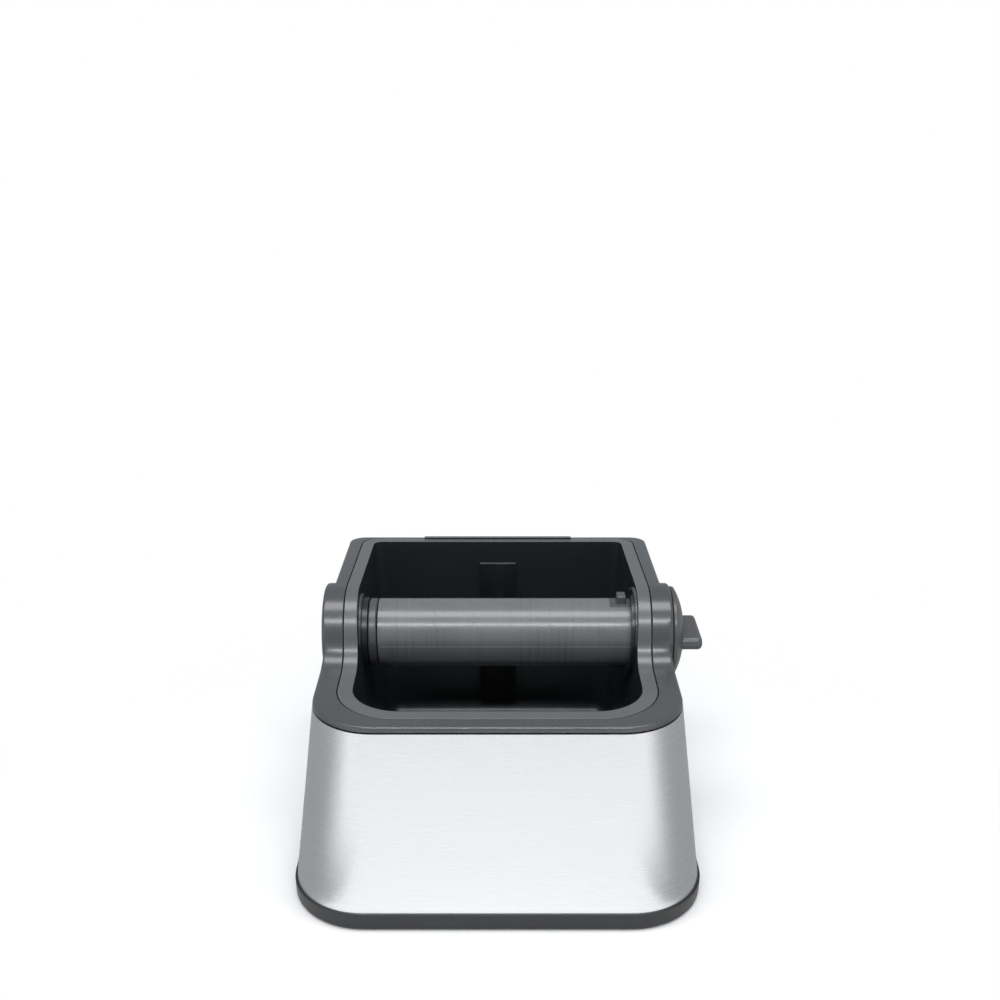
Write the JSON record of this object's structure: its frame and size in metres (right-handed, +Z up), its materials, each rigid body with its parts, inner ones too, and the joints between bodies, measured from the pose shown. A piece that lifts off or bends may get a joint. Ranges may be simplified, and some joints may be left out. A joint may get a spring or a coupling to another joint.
{
  "type": "espresso knock box",
  "caption": "Steel-clad espresso knock box with a bin inside and a rubber-sleeved knock bar that turns to unlock and draws out sideways.",
  "frame": {"origin": "middle of the underside, on the non-slip pad's face", "axes": "+X along the knock bar to its knob, +Y to the high back, +Z up"},
  "size_m": [0.1817, 0.19, 0.1179],
  "materials": {
    "base_plastic": "fine moulded grain",
    "steel": "fine horizontal brushing",
    "frame_plastic": "satin",
    "liner_plastic": "satin gloss",
    "spring_steel": "bright",
    "screw_steel": "bright",
    "pad_rubber": "matte",
    "bin_plastic": "satin",
    "core_plastic": "satin",
    "knob_plastic": "fine moulded grain",
    "sleeve_rubber": "satin, faintly streaked round the bar"
  },
  "bodies": {
    "box": {"plinth": "base_plastic", "steel_wrap": "steel", "top_frame": "frame_plastic", "inner_liner": "liner_plastic", "rear_clip": "spring_steel", "rear_screws": "screw_steel", "bottom_plate": "base_plastic", "base_pad": "pad_rubber", "bottom_screws": "screw_steel", "bin_tub": "bin_plastic", "bar_socket": "liner_plastic", "lock_cam": "liner_plastic"},
    "collar": {"bar_collar": "knob_plastic"},
    "bar": {"bar_core": "core_plastic", "stub_cap": "core_plastic", "lock_lug": "knob_plastic", "bar_sleeve": "sleeve_rubber", "bar_knob": "knob_plastic", "knob_seal": "pad_rubber", "knob_pin": "screw_steel"}
  },
  "joints": [
    {"name": "bar_draw", "type": "slide", "parent": "box", "child": "collar", "axis": [1, 0, 0], "range_m": [0, 0.2]},
    {"name": "bar_turn", "type": "hinge", "parent": "collar", "child": "bar", "pos_m": [0, 0, 0.0955], "axis": [1, 0, 0], "range_deg": [0, 180]}
  ]
}
